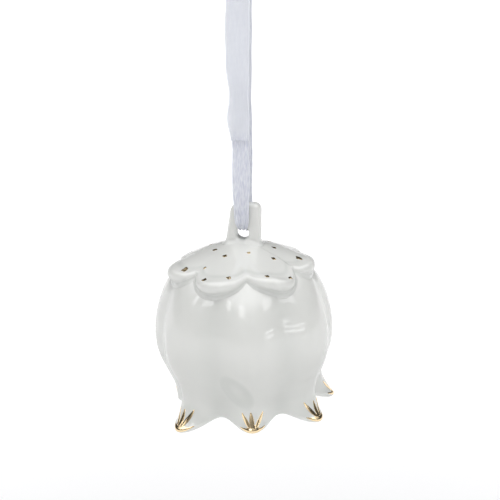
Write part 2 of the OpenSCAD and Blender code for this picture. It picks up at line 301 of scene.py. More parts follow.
def porcelain_material():
    """White body under a clear glaze: faintly mottled, gently uneven, and darkened by painted shade where
    each piece marks it, in a grey a little cooler, as pooled glaze is.
    """
    material, tree, shader = new_material("glazed_porcelain")
    where = object_place(tree)
    mottle = blend_colours(tree, noise(tree, where, 70), (0.665, 0.672, 0.648), (0.71, 0.714, 0.69))
    pool_and_shade = add_node(tree, "Attribute", {"attribute_name": "pool_and_shade"}).outputs["Fac"]
    # Painted shade: the colour blends towards this darker, slightly cooler grey in hollows, creases and
    # under overhangs.
    pool_and_shade_mix = add_node(tree, "Mix", {"data_type": "RGBA"})
    tree.links.new(rescale(tree, pool_and_shade, 0, 0.55), pool_and_shade_mix.inputs["Factor"])
    tree.links.new(mottle.outputs["Color"], pool_and_shade_mix.inputs["A"])
    pool_and_shade_mix.inputs["B"].default_value = (0.52, 0.54, 0.515, 1)
    tree.links.new(pool_and_shade_mix.outputs["Result"], shader.inputs["Base Color"])
    tree.links.new(rescale(tree, noise(tree, where, 220), 0.06, 0.12), shader.inputs["Roughness"])
    peel = add_node(tree, "Bump", Strength=0.25, Distance=0.00003, Height=noise(tree, where, 320, 2.0))
    sag = add_node(tree, "Bump", Strength=0.5, Distance=0.0002, Height=noise(tree, where, 90, 1.0),
                   Normal=peel.outputs["Normal"])
    tree.links.new(sag.outputs["Normal"], shader.inputs["Normal"])
    shader.inputs["IOR"].default_value = 1.52
    shader.inputs["Subsurface Weight"].default_value = 0.12
    shader.inputs["Subsurface Radius"].default_value = (1.0, 1.05, 0.95)
    shader.inputs["Subsurface Scale"].default_value = 0.0015
    facing = add_node(tree, "LayerWeight", Blend=0.5).outputs["Facing"]
    tree.links.new(rescale(tree, facing, 0.5, 0.03, 0.35, 0.95), shader.inputs["Specular IOR Level"])
    tree.links.new(rescale(tree, facing, 0.5, 0.0, 0.35, 0.9), shader.inputs["Coat Weight"])
    shader.inputs["Coat Roughness"].default_value = 0.05
    return material


def gold_material():
    """Bright gold lustre, brown and thin towards the edge of each mark, with faint brush strokes."""
    material, tree, shader = new_material("gold_lustre")
    where = object_place(tree)
    edge = add_node(tree, "Attribute", {"attribute_name": "edge"}).outputs["Fac"]
    patchy = add_node(tree, "Math", {"operation": "MULTIPLY_ADD"})
    tree.links.new(noise(tree, where, 900), patchy.inputs[0])
    patchy.inputs[1].default_value = 0.5
    tree.links.new(edge, patchy.inputs[2])
    worn = rescale(tree, patchy.outputs[0], 0, 1, 0.75, 1.35)
    colour = blend_colours(tree, worn, (0.88, 0.70, 0.44), (0.20, 0.15, 0.07))
    tree.links.new(colour.outputs["Color"], shader.inputs["Base Color"])
    tree.links.new(rescale(tree, patchy.outputs[0], 0.09, 0.38, 0.3, 1.4), shader.inputs["Roughness"])
    strokes = add_node(tree, "Bump", Strength=0.3, Distance=0.00003,
                       Height=noise(tree, object_place(tree, (1, 1, 0.3)), 1800))
    tree.links.new(strokes.outputs["Normal"], shader.inputs["Normal"])
    shader.inputs["Metallic"].default_value = 1
    return material


def brass_material():
    """Drawn brass wire, a little tarnished, with fine scratches along it."""
    material, tree, shader = new_material("brass_wire")
    where = object_place(tree)
    colour = blend_colours(tree, noise(tree, where, 500), (0.50, 0.34, 0.13), (0.78, 0.58, 0.27))
    tree.links.new(colour.outputs["Color"], shader.inputs["Base Color"])
    tree.links.new(rescale(tree, noise(tree, where, 1500), 0.2, 0.42), shader.inputs["Roughness"])
    lines = add_node(tree, "Bump", Strength=0.4, Distance=0.00002,
                     Height=noise(tree, object_place(tree, (1, 1, 0.08)), 6000, 1.0))
    tree.links.new(lines.outputs["Normal"], shader.inputs["Normal"])
    shader.inputs["Metallic"].default_value = 1
    return material


def organza_material():
    """Sheer bluish-white organza: crossed threads, streaks along the weave, denser at the selvedge, and
    painted light and shade of the creases, in slanting streaks where the strip is narrowed.
    """
    material, tree, shader = new_material("organza")
    flat = add_node(tree, "UVMap", {"uv_map": "flat"}).outputs["UV"]
    waves = []
    for direction in ("X", "Y"):
        # The map is in millimetres, and at a scale of 1 the texture makes 3.2 threads to each
        wave = add_node(tree, "TexWave", {"bands_direction": direction}, Vector=flat, Scale=1.0,
                        Distortion=0.6, Detail_Scale=2.0)
        waves.append(wave.outputs["Fac"])
    weave = add_node(tree, "Math", {"operation": "MAXIMUM"})
    tree.links.new(waves[0], weave.inputs[0])
    tree.links.new(waves[1], weave.inputs[1])
    long_way = add_node(tree, "Mapping", Vector=flat, Scale=(1.4, 0.16, 1)).outputs["Vector"]
    streak = noise(tree, long_way, 1.6)
    # Painted light and shade: slanting bright and dark streaks for the creases, used where the strip is
    # narrowed.
    slanting = add_node(tree, "Mapping", Vector=flat, Rotation=(0, 0, 0.3), Scale=(2.4, 0.3, 1))
    crease_light_and_shade = noise(tree, slanting.outputs["Vector"], 1.6)
    creased = add_node(tree, "Attribute", {"attribute_name": "creased"}).outputs["Fac"]
    tone = add_node(tree, "Mix", {"data_type": "FLOAT"})
    tree.links.new(creased, tone.inputs["Factor"])
    tree.links.new(rescale(tree, streak, 0.5, 0.9), tone.inputs["A"])
    tree.links.new(rescale(tree, crease_light_and_shade, 0.0, 1.0, 0.3, 0.7), tone.inputs["B"])
    colour = blend_colours(tree, tone.outputs["Result"], (0.60, 0.62, 0.745), (0.90, 0.92, 0.945))
    tree.links.new(colour.outputs["Color"], shader.inputs["Base Color"])
    selvedge = add_node(tree, "Attribute", {"attribute_name": "selvedge"}).outputs["Fac"]
    woven = add_node(tree, "Math", {"operation": "MULTIPLY_ADD"})
    tree.links.new(weave.outputs[0], woven.inputs[0])
    woven.inputs[1].default_value = 0.45
    tree.links.new(selvedge, woven.inputs[2])
    tree.links.new(rescale(tree, woven.outputs[0], 0.62, 0.97, 0, 0.9), shader.inputs["Alpha"])
    tree.links.new(rescale(tree, streak, 0.32, 0.5), shader.inputs["Roughness"])
    ribs = add_node(tree, "Bump", Strength=0.35, Distance=0.00006, Height=weave.outputs[0])
    tree.links.new(ribs.outputs["Normal"], shader.inputs["Normal"])
    shader.inputs["Sheen Weight"].default_value = 0.35
    shader.inputs["Sheen Roughness"].default_value = 0.4
    return material


# ---- the camera ----
def make_camera():
    """It stands 10 degrees to the right of the front and looks down 17 degrees."""
    azimuth, elevation, distance = math.radians(10), math.radians(17), 0.5
    half_view, aside, below_hole = 0.07025, 0.00183, 0.0053
    right = Vector((math.cos(azimuth), math.sin(azimuth), 0))
    back = Vector((math.sin(azimuth) * math.cos(elevation), -math.cos(azimuth) * math.cos(elevation),
                   math.sin(elevation)))
    data = bpy.data.cameras.new("camera")
    data.lens = data.sensor_width / 2 * distance / half_view
    camera = bpy.data.objects.new("camera", data)
    camera.location = PIVOT - Vector((0, 0, below_hole)) + right * aside + back * distance
    camera.rotation_euler = (-back).to_track_quat("-Z", "Y").to_euler()
    bpy.context.scene.collection.objects.link(camera)
    bpy.context.scene.camera = camera


# ---- the ribbon ----
def strip_on_route(steps):
    """The route in short steps: the strip's middle, width and pile, its heading, the way its face
    looks, and how far along it each step is."""
    path = curve_at(ROUTE, np.linspace(0, 1, (len(ROUTE) - 1) * steps + 1))
    centre, width, pile = path[:, :3], path[:, 3], path[:, 4]
    heading = np.gradient(centre, axis=0)
    heading[:, 0] = 0
    heading /= np.linalg.norm(heading, axis=1)[:, None]
    facing = np.stack([0 * width, -heading[:, 2], heading[:, 1]], 1)
    along = np.concatenate([[0], np.cumsum(np.linalg.norm(np.diff(centre, axis=0), axis=1))])
    return centre, width, pile, heading, facing, along


def strip_folds(u, v, width, pile):
    """How far the sheet stands off its middle at u across and v along the strip, how gathered the
    strip is, and how much of it is creased."""
    least_pile, flat_pile, full_pile, flat_width = 0.15, 0.4, 0.8, 5.6

    def ripple(turns, length, start=0):
        """A slanting wave: turns in half the width, and one in that length along the strip."""
        return np.sin(2 * math.pi * (turns * u + v / length) + start)

    gathered = np.clip((pile - flat_pile) / (full_pile - flat_pile), 0, 1)[:, None]
    narrow = smoothstep(flat_width - width, 0, 0.6)[:, None]
    pleats = 0.65 * np.sin(2 * math.pi * (1.3 * u + 0.1 * np.sin(v / 4)))
    flutter = 0.5 * ripple(0.55, 19) + 0.3 * ripple(0.9, -7.3)
    creases = ripple(0.9, 8.5) * ripple(1.3, -12, 1)
    room = (pile[:, None] - least_pile) / 2
    fold = (room * ((1 - gathered) * flutter + gathered * pleats)
            + 0.10 * narrow * creases * (1 - 0.5 * gathered))
    return fold, gathered, narrow


def ribbon(material):
    """One strip, flat in the loop and pleated where it is gathered into the lug's hole."""
    steps, columns, sheet, edge_roll, fray_reach = 12, 40, 0.09, 0.07, 0.8
    centre, width, pile, heading, facing, along = strip_on_route(steps)
    u, v = np.linspace(-1, 1, columns)[None, :], along[:, None]
    fold, gathered, narrow = strip_folds(u, v, width, pile)
    selvedge = smoothstep(np.abs(u), 0.9, 0.98) + 0 * v
    half_sheet = (sheet + edge_roll * selvedge) / 2
    ragged = 0.12 * np.sin(9 * u + 1.3 * np.sin(23 * u))
    fray = ragged * (np.exp(-v / fray_reach) - np.exp(-(along[-1] - v) / fray_reach))
    uneven = 0.12 * np.sin(v / 2.9) * np.sin(v / 6.1) * (1 - gathered) * u
    skins = []
    for side in (1, -1):
        across = (u * width[:, None] / 2 + uneven)[..., None] * np.array([1, 0, 0])
        lift = (fold + side * half_sheet)[..., None] * facing[:, None, :]
        skins.append(centre[:, None, :] + across + lift + fray[..., None] * heading[:, None, :])
    loop = np.concatenate([skins[0], skins[1][:, ::-1]], 1)
    uv_u = np.concatenate([u, u[:, ::-1]], 1) * (WIDE / 2) + 0 * v
    uv = np.stack([uv_u, v + 0 * uv_u], -1).reshape(-1, 2)
    points = moved(loop, AT_HOLE)
    rows, wide = len(along), 2 * columns
    faces = grid_faces(rows, wide)
    for row, flip in ((0, 1), (rows - 1, -1)):
        first = row * wide
        faces += [[first + k, first + wide - 1 - k, first + wide - 2 - k, first + k + 1][::flip]
                  for k in range(columns - 1)]
    marks = {key: np.concatenate([value, value[:, ::-1]], 1).ravel()
             for key, value in (("selvedge", selvedge), ("creased", narrow + 0 * u * v))}
    strip = mesh_object("ribbon", points, faces, marks, uv)
    finish_piece(strip, "ribbon", "hanging_ribbon", material)


# ---- the bell's porcelain ----
def nearest(a, turn):
    """Angle from the middle of the nearest petal or lobe, and its number."""
    shifted = np.asarray(a, float) - turn + 360 + SWEEP / 2
    return shifted % SWEEP - SWEEP / 2, np.floor(shifted / SWEEP).astype(int) % PETALS


def petal_swell(a):
    """1 on a petal's ridge and 0 in the valley beside it."""
    middle, soft = cos_d(180 * nearest(a, PETAL_TURN)[0] / SWEEP), 0.4
    return (np.sqrt(middle**2 + soft**2) - soft) / (math.sqrt(1 + soft**2) - soft)


def outer(t, a):
    """The outer surface as [radius, depth], t from 0 at the crown to 1 at the hem."""
    t, a = np.broadcast_arrays(np.asarray(t, float), np.asarray(a, float))
    off, petal = nearest(a, PETAL_TURN)
    middle = np.clip(cos_d(180 * off / SWEEP), 0, 1)
    flare_from, flare_over = 0.8, 0.2
    low = np.clip((t - flare_from) / flare_over, 0, None)
    p = curve_at(RIDGE, t)
    dip = FLUTE * np.minimum(1, t * 2.2) * (1 + 0.4 * t) * (1 - petal_swell(a))
    out = TIP_FLARE * FLARES[petal] * middle**3 * low**2
    down = (TIP_Z - ARCH_Z) * (0.5 + FLARES[petal] / 2) * middle**2 * low**1.5
    return np.stack([p[..., 0] * BODY_D / RIDGE_D * (1 - dip) + out, p[..., 1] + down], -1)


def outward(t, a):
    """The direction out of the outer surface, as [radius, depth]."""
    step = 0.005
    d = outer(np.minimum(1, np.asarray(t) + step), a) - outer(np.maximum(0, np.asarray(t) - step), a)
    n = np.stack([d[..., 1], -d[..., 0]], -1)
    return n / np.linalg.norm(n, axis=-1, keepdims=True)


def wall_at(t):
    """The wall's thickness, which thins towards the hem."""
    thinning, thin_from, thin_over = 0.35, 0.7, 0.3
    return WALL * (1 - thinning * np.clip((np.asarray(t) - thin_from) / thin_over, 0, None)**2)


def place(rz, a):
    """[radius, depth] at an angle, as a point."""
    return np.stack([rz[..., 0] * sin_d(a), -rz[..., 0] * cos_d(a), -rz[..., 1] + 0 * np.asarray(a)], -1)


def press_mark(t, a):
    """A shallow, slanting oval press mark low on the front: 1 at its middle and 0 outside it."""
    mark_a, mark_depth, slant, long_half, short_half = 3.7, 37.1, 54, 6.6, 3.6
    rz = outer(t, a)
    side = np.radians((a - mark_a + 180) % 360 - 180) * rz[..., 0]
    fall = rz[..., 1] - mark_depth
    q = (((side * cos_d(slant) + fall * sin_d(slant)) / long_half)**2
         + ((fall * cos_d(slant) - side * sin_d(slant)) / short_half)**2)
    return np.clip(1 - q, 0, None)


def hand_touch(t, a):
    """How far the hand-finished surface stands off the regular one."""
    press, oval, waver = 0.4, 0.07, 0.05
    wave = (oval * sin_d(2 * a + 40) * sin_d(180 * t)
            + waver * sin_d(3 * a + 250 * t + 10) * sin_d(180 * t))
    return wave - press * press_mark(t, a)**1.5


def skin(t, a, lift=0.0):
    """Points on the finished outer surface, or that far off it."""
    rz = outer(t, a) + (hand_touch(t, a) + lift)[..., None] * outward(t, a)
    return place(rz, a)


def lip(b, a, lift=0.0):
    """The rounded hem, b from 0 outside to 180 inside."""
    n = outward(1, a)
    down = np.stack([-n[..., 1], n[..., 0]], -1)
    h = wall_at(1) / 2
    b, lift = np.asarray(b, float)[..., None], np.asarray(lift, float)[..., None]
    rz = outer(1, a) - h * n + (h + lift) * (cos_d(b) * n + sin_d(b) * down)
    return place(rz, a)


def bell_shell(material):
    """The fluted body: down the outside, round the hem and up the inside in closed rings."""
    per_petal, outer_rows, inner_rows = 48, 130, 60
    a = np.linspace(0, 360, PETALS * per_petal, endpoint=False)
    down, up = np.linspace(0, 1, outer_rows + 1)[1:], np.linspace(1, 0, inner_rows + 1)[:-1]
    outside = [skin(t, a) for t in down]
    hem = [lip(b, a) for b in np.linspace(12, 168, 13)]
    inside = [place(outer(t, a) - wall_at(t) * outward(t, a), a) for t in up]
    rings = outside + hem + inside
    points, faces = closed_rings(rings, [0, 0, -RIDGE[0][1]], [0, 0, -CROWN_IN])
    # Painted shade: darker in the flutes' valleys, more so on the hem and inside the bell, and in a ring
    # round the press mark; the body also darkens towards the hem.
    valley = (1 - petal_swell(a))**2
    pool_and_shade = []
    for t in down:
        mark = press_mark(t, a)
        pool_and_shade.append(0.4 * valley + 0.45 * smoothstep(t, 0.45, 1) + 2.3 * mark * (1.1 - mark))
    pool_and_shade += [valley] * (len(hem) + len(inside))
    pool_and_shade = np.concatenate([[0], *pool_and_shade, [1]])
    piece = mesh_object("porcelain_shell", moved(points, ON_BELL), faces, {"pool_and_shade": pool_and_shade})
    finish_piece(piece, "bell", "bell_shell", material)


# ---- the calyx cap ----
def cap_depth(r):
    """Depth of the cap's top at a radius: a cone with a rounded point."""
    return CAP_SLOPE * (np.sqrt(r * r + CAP_ROUND**2) - CAP_ROUND)


def shell_depth(plan):
    """Depth of the shell's dome under points in plan."""
    r = np.hypot(plan[:, 0], plan[:, 1])
    a = np.degrees(np.arctan2(plan[:, 0], -plan[:, 1]))
    rz = outer(np.linspace(0, 0.55, 70)[None, :], a[:, None])
    return np.array([np.interp(x, row[:, 0], row[:, 1]) for x, row in zip(r, rz)])


def lobe_outline():
    """The lobes' edge in plan: for each column its point, its outward direction, the roll's
    radius, how near it is to a notch, and how far its lobe sags."""
    per_lobe, softness = 56, 1.3
    u = np.linspace(-1, 1, per_lobe, endpoint=False)
    a = np.concatenate([LOBE_TURN + k * SWEEP + SWEEP / 2 * sin_d(90 * u) for k in range(PETALS)])
    off, lobe = nearest(a, LOBE_TURN)
    to_notch = SWEEP / 2 - np.abs(off)
    middle = cos_d(180 * off / SWEEP)
    off = np.clip(SWEEP / 2 - np.sqrt(to_notch**2 + softness**2), 0, None)
    across = LOBE_AT * sin_d(off)
    rim = LOBE_AT * cos_d(off) + np.sqrt(LOBE_R**2 - across**2)
    rim *= 1 + (REACHES[lobe] - 1) * middle
    edge = np.stack([rim * sin_d(a), -rim * cos_d(a)], 1)
    tangent = np.roll(edge, -1, 0) - np.roll(edge, 1, 0)
    tangent /= np.linalg.norm(tangent, axis=1)[:, None]
    roll = LOBE_EDGE / 2 * (0.6 + 0.4 * cos_d(180 * off / SWEEP))
    notch = (1 - cos_d(360 * off / SWEEP)) / 2
    droop = DROOPS[lobe] * middle**1.5 + LEANS[lobe] * sin_d(360 * nearest(a, LOBE_TURN)[0] / SWEEP)
    return edge, np.stack([tangent[:, 1], -tangent[:, 0]], 1), roll, notch, droop


def smooth_round(values, reach):
    """A running average round the closed outline."""
    return sum(np.roll(values, k, 0) for k in range(-reach, reach + 1)) / (2 * reach + 1)


def fillet_under(edge, out, roll, centre_depth, fillet):
    """Where a fillet fits between the roll and the shell, seen in the upright plane through each
    column: the roll's last angle, and the fillet's points from the roll to the shell as
    [distance out from the edge, depth]."""
    w = np.linspace(-6.5, 2.2, 88)
    plan = edge[:, None, :] + out[:, None, :] * w[None, :, None]
    depth = shell_depth(plan.reshape(-1, 2)).reshape(len(edge), len(w))
    slope = np.gradient(depth, w, axis=1)
    normal = np.stack([slope, -np.ones_like(slope)], -1) / np.sqrt(1 + slope**2)[..., None]
    middle = np.stack([w + 0 * depth, depth], -1) + fillet * normal
    ball = np.stack([-roll, centre_depth], 1)[:, None, :]
    room = np.linalg.norm(middle - ball, axis=-1) - (roll + fillet)[:, None]
    last = np.array([np.flatnonzero(row < 0)[-1] if (row < 0).any() else row.argmin() for row in room])
    at = smooth_round(w[np.minimum(last + 1, len(w) - 1)], 3)
    pick = np.clip(np.searchsorted(w, at), 0, len(w) - 1)
    columns = np.arange(len(edge))
    shell_n, mid = smooth_round(normal[columns, pick], 2), smooth_round(middle[columns, pick], 2)
    to_mid = mid - ball[:, 0]
    last_angle = np.degrees(np.arctan2(to_mid[:, 0], -to_mid[:, 1]))
    start = -to_mid / np.linalg.norm(to_mid, axis=1)[:, None]
    points = []
    for s in np.linspace(0, 1, 8):
        ray = (1 - s) * start - s * shell_n
        points.append(mid + fillet * ray / np.linalg.norm(ray, axis=1)[:, None])
    return last_angle, points


def lobe_top(q, reach, roll, sag, top):
    """Depth of the cap's top, q of the way out to the roll: the cone, blended into the roll."""
    blend = 0.7
    r = q * reach
    cone = cap_depth(r) + sag * q**5
    ball = top + roll - np.sqrt(np.clip(roll**2 - (reach - r)**2, 0, None))
    mix = np.clip(0.5 + (ball - cone) / blend, 0, 1)
    depth = ball + (cone - ball) * mix - blend / 2 * mix * (1 - mix)
    return np.where(reach - r < roll, depth, cone)


def calyx_cap(material):
    """Seven puffy lobes with raised, rolled edges, luted to the shell by a glaze fillet."""
    edge, out, roll, notch, droop = lobe_outline()
    rise, groove, crease_shade_width, fillet, sunk = 0.05, 0.8, 0.7, 1.3, 0.5
    inner_edge = edge - out * roll[:, None]
    reach = np.hypot(*inner_edge.T)
    sag = groove * notch + droop
    top = cap_depth(reach) + sag - rise
    rings, pool_and_shade = [], []
    for q in np.linspace(0, 1, 56)[1:]:
        depth = lobe_top(q, reach, roll, sag, top)
        rings.append(np.stack([*(q * inner_edge).T, -depth], 1))
        # Painted shade in the crease where the cap's top meets the raised roll.
        pool_and_shade.append(np.exp(-((reach - q * reach - 0.9 * roll) / crease_shade_width)**2) * 0.8)
    last_angle, below = fillet_under(edge, out, roll, top + roll, fillet)
    for s in np.linspace(0, 1, 18)[1:]:
        b = s * last_angle
        at = inner_edge + out * (roll * sin_d(b))[:, None]
        rings.append(np.stack([*at.T, -(top + roll * (1 - cos_d(b)))], 1))
        # Painted shade on the roll's underside.
        pool_and_shade.append(0.5 * smoothstep(b, 100, 150))
    for k, section in enumerate(below[1:]):
        at = edge + out * section[:, :1]
        rings.append(np.stack([*at.T, -section[:, 1]], 1))
        # Painted shade along the fillet under the lobe.
        pool_and_shade.append(0 * reach + 0.9 - 0.1 * k)
    landing = rings[-1][:, :2]
    for shrink in (0.985, 0.8, 0.5, 0.2):
        rings.append(np.stack([*(shrink * landing).T, -shell_depth(shrink * landing) - sunk], 1))
        pool_and_shade.append(0 * reach)
    points, faces = closed_rings(rings, [0, 0, 0], [0, 0, -RIDGE[0][1] - sunk])
    pool_and_shade = np.concatenate([np.broadcast_to(p, len(edge)) for p in pool_and_shade])
    piece = mesh_object("porcelain_calyx", moved(points, ON_BELL), faces, {"pool_and_shade": [0, *pool_and_shade, 0]})
    return finish_piece(piece, "bell", "calyx_cap", material)


# ---- pierced plates: the hanging lug and the clapper's loop ----
def hull_outline(circles, count):
    """Evenly spaced points round the convex hull of circles given as [x, z, radius]."""
    turn = np.linspace(0, 2 * math.pi, 1440, endpoint=False)
    ray = np.stack([np.cos(turn), np.sin(turn)], 1)
    best = (ray @ circles[:, :2].T + circles[:, 2]).argmax(1)
    points = circles[best, :2] + circles[best, 2:] * ray
    points = np.vstack([points, points[:1]])
    run = np.concatenate([[0], np.cumsum(np.linalg.norm(np.diff(points, axis=0), axis=1))])
    at = np.linspace(0, run[-1], count, endpoint=False)
    return np.stack([np.interp(at, run, points[:, k]) for k in (0, 1)], 1)


def evened(rough):
    """Points, normals and faces of a piece, remeshed evenly and smoothed. The piece itself goes."""
    grain, smoothings = 0.14, 6
    remesh = rough.modifiers.new("even", "REMESH")
    remesh.mode = "VOXEL"
    remesh.voxel_size = grain
    smooth = rough.modifiers.new("soft", "SMOOTH")
    smooth.iterations = smoothings
    bpy.context.view_layer.update()
    even = bpy.data.meshes.new_from_object(rough.evaluated_get(bpy.context.evaluated_depsgraph_get()))
    bpy.data.objects.remove(rough)
    at = np.array([v.co for v in even.vertices])
    normal = np.array([v.normal for v in even.vertices])
    faces = [list(p.vertices) for p in even.polygons]
    bpy.data.meshes.remove(even)
    return at, normal, faces


def pierced_plate(circles, hole, hole_r, thickness, outer_round, hole_round):
    """A plate in the XZ plane with soft edges, pierced along Y: its points, normals and faces."""
    outline = hull_outline(circles, 96)
    ray = outline - hole
    reach = np.linalg.norm(ray, axis=1)
    ray /= reach[:, None]
    half, quarter = thickness / 2, np.linspace(0, 90, 6)
    section = [(0 * reach + hole_r + hole_round * (1 - cos_d(b)), half - hole_round * (1 - sin_d(b)))
               for b in quarter]
    section += [(reach - outer_round * (1 - cos_d(b)), half - outer_round * (1 - sin_d(b)))
                for b in quarter[::-1]]
    section += [(r, -y) for r, y in section[::-1]]
    points = [np.stack([hole[0] + ray[:, 0] * r, y + 0 * r, hole[1] + ray[:, 1] * r], 1)
              for r, y in section]
    faces = grid_faces(len(section), len(outline), wrap_rows=True)
    return evened(mesh_object("rough", np.vstack(points), faces))


def flare_foot(at, normal, height, base_depth, radius):
    """Spreads a plate's foot into a fillet on a surface, height being how far each point is from
    that surface and base_depth the surface's depth at a radius, and gives painted shade, darkest
    at the foot."""
    s = np.clip(1 - height / radius, 0, 1)
    spread = radius * (1 - np.sqrt(1 - s * s))
    moved_out = at.copy()
    moved_out[:, :2] += normal[:, :2] * spread[:, None]
    before, after = np.hypot(at[:, 0], at[:, 1]), np.hypot(moved_out[:, 0], moved_out[:, 1])
    moved_out[:, 2] -= (base_depth(after) - base_depth(before)) * (s > 0) + 0.2 * s**6
    # The second value is painted shade: 0.7 at the foot, fading to none at the fillet's top.
    return moved_out, s * 0.7


def hanging_lug(material):
    """The leaning plate on the crown that the ribbon threads through."""
    outer_round, hole_round, foot = 1.1, 0.6, 1.5
    at, normal, faces = pierced_plate(LUG_CORNERS, HOLE, HOLE_R, LUG_T, outer_round, hole_round)
    height = at[:, 2] + cap_depth(np.hypot(at[:, 0], at[:, 1]))
    at, pool_and_shade = flare_foot(at, normal, height, cap_depth, foot)
    piece = mesh_object("porcelain_lug", moved(at, ON_BELL), faces, {"pool_and_shade": pool_and_shade})
    finish_piece(piece, "bell", "hanging_lug", material)


def clapper_loop(material):
    """The same kind of plate, turned to face sideways and hung under the crown."""
    outer_round, hole_round, foot = 0.6, 0.4, 0.9
    corners = np.array([[0, -EAR_HOLE, EAR_R], [-1.7, -CROWN_IN + 0.4, 0.5], [1.7, -CROWN_IN + 0.4, 0.5]])
    hole = np.array([0, -EAR_HOLE])
    at, normal, faces = pierced_plate(corners, hole, EAR_HOLE_R, EAR_T, outer_round, hole_round)
    quarter_turn = np.array([[0, -1, 0], [1, 0, 0], [0, 0, 1]])
    at, normal = at @ quarter_turn.T, normal @ quarter_turn.T
    at, pool_and_shade = flare_foot(at, normal, -at[:, 2] - CROWN_IN, lambda r: 0 * r, foot)
    piece = mesh_object("porcelain_clapper_loop", moved(at, ON_BELL), faces, {"pool_and_shade": pool_and_shade})
    finish_piece(piece, "bell", "clapper_lug", material)


# ---- the gilding ----
# Each dot is [lobe, distance from the axis, angle from the lobe's middle, size]
DOTS = [[0, 19.4, -9, 1], [0, 19.8, 12, 0.9], [0, 7.6, -14, 0.8], [0, 12.2, 17, 1],
        [1, 16.4, -6, 1.4], [1, 9.3, 0, 1],
        [2, 17, 8, 1.1], [2, 9.5, -8, 0.9],
        [3, 17.2, -9, 1], [3, 16.8, 10, 1], [3, 8.4, 3, 0.9],
        [4, 17, -8, 1.1], [4, 9.8, 8, 0.9],
        [5, 18, 12, 1.4], [5, 8, 5, 1],
        [6, 19.6, -10, 1.1], [6, 18.6, 11, 1], [6, 9.2, -8, 1], [6, 15, -21, 0.7]]
DOT_D = 1.5


def dab_faces(first, last, spokes, hoops):
    """Faces of a dab: hoops of points round the point first, closed by the point last below them."""
    faces = []
    for k in range(spokes):
        near, far = first + 1 + k, first + 1 + (k + 1) % spokes
        faces.append([first, near, far])
        for hoop in range(hoops - 1):
            faces.append([near + hoop * spokes, near + (hoop + 1) * spokes,
                          far + (hoop + 1) * spokes, far + hoop * spokes])
        rim = (hoops - 1) * spokes
        faces.append([last, far + rim, near + rim])
    return faces


def calyx_dots(cap, material):
    """Small four-pointed dabs of lustre that follow the cap's surface."""
    spokes, hoops, film, sunk, above_crown = 28, 6, 0.05, 0.05, 5
    random = np.random.default_rng(7)
    cap_points, cap_faces = [v.co for v in cap.data.vertices], [p.vertices for p in cap.data.polygons]
    tree = BVHTree.FromPolygons(cap_points, cap_faces)
    down = -(ON_BELL.to_3x3().normalized() @ Vector((0, 0, 1)))
    points, faces, edge = [], [], []
    for lobe, r, off, size in DOTS:
        a = LOBE_TURN + lobe * SWEEP + off
        phase, ragged = random.uniform(0, 90), random.uniform(-0.13, 0.13, 3)
        turn = np.linspace(0, 360, spokes, endpoint=False)
        shape = DOT_D * size / 2 * (1 + 0.12 * cos_d(4 * turn + phase) + ragged[0] * cos_d(turn)
                                    + ragged[1] * cos_d(2 * turn + 50) + ragged[2] * cos_d(3 * turn))
        middle = np.array([r * sin_d(a), -r * cos_d(a)])
        first = len(points)
        for hoop in range(hoops + 1):
            share = hoop / hoops
            for spoke in range(spokes if hoop else 1):
                reach = shape[spoke] * share
                ray = np.array([cos_d(turn[spoke]), sin_d(turn[spoke])]) * reach
                above = ON_BELL @ Vector((*(middle + ray), above_crown))
                hit, normal = tree.ray_cast(above, down)[:2]
                lift = film * (1 - share**3) - sunk * share**8
                points.append(hit + normal * lift * MM)
                edge.append(share**2)
        points.append(points[first] - normal * 3 * sunk * MM)
        edge.append(1)
        faces += dab_faces(first, len(points) - 1, spokes, hoops)
    piece = mesh_object("gilded_dots", points, faces, {"edge": edge})
    finish_piece(piece, "bell", "calyx_gilding", material)


def slab(grid, under, first):
    """Points and faces of a closed slab, from a grid on top and the same grid below it."""
    rows, columns = grid.shape[:2]
    count = rows * columns
    top = grid_faces(rows, columns, wrap_columns=False, first=first)
    bottom = [[i + count for i in face[::-1]] for face in top]
    border = [(0, k) for k in range(columns)] + [(i, columns - 1) for i in range(1, rows)]
    border += [(rows - 1, k) for k in range(columns - 2, -1, -1)]
    border += [(i, 0) for i in range(rows - 2, 0, -1)]
    ring = [first + i * columns + k for i, k in border]
    walls = [[ring[j], ring[j - 1], ring[j - 1] + count, ring[j] + count] for j in range(len(ring))]
    return np.vstack([grid.reshape(-1, 3), under.reshape(-1, 3)]), top + bottom + walls


# Three strokes fan out from each tip: [angle off the tip at the top, how high it starts as t]
STROKES = [[-7.5, 0.938], [0, 0.926], [7.5, 0.938]]


def claw_stroke(tip, lean, start):
    """A stroke, widest in the middle and closed at the top: its grid on the skin as t and angle,
    and how near each point is to its edge."""
    foot = 0.992
    f = np.linspace(0, 1, 30)[:, None]
    c = np.linspace(-1, 1, 11)[None, :]
    half = (0.95 + 1.05 * sin_d(180 * f**0.8)) * np.sqrt(np.clip(1 - f**4, 0, 1)) + 0.05
    t = foot - f * (foot - start) + 0 * c
    a = tip + lean * (0.25 + 0.75 * f) + c * half
    return t, a, np.maximum(np.abs(c), f**10) + 0 * t


def hem_cap(petal):
    """The gold round a petal's tip, down the skin and on round the lip: a function that places
    its grid at a height off the surface, and how near each point is to its edge."""
    spread, mm_per_t, hem_at = 10.0, 60, 0.4
    c = np.linspace(-1, 1, 41)[None, :]
    f = np.linspace(0, 1, 22)[:, None]
    a = PETAL_TURN + petal * SWEEP + spread * c + 0 * f
    upper = 0.12 + 1.6 * np.exp(-(c * spread / 3.6)**2) + 0.06 * sin_d(500 * c + 90 * petal)
    lower = 80 * np.clip(1 - c * c, 0, 1) + 4
    t = 1 - np.clip(1 - f / hem_at, 0, 1) * upper / mm_per_t
    b = np.clip((f - hem_at) / (1 - hem_at), 0, 1) * lower
    rim = np.maximum.reduce([np.abs(c) + 0 * f, np.clip(1 - f / 0.12, 0, 1) + 0 * c,
                             np.clip((f - 0.9) / 0.1, 0, 1) + 0 * c])
    on_skin = (f < hem_at) + 0 * c > 0
    return lambda lift: np.where(on_skin[..., None], skin(t, a, lift), lip(b, a, lift)), rim


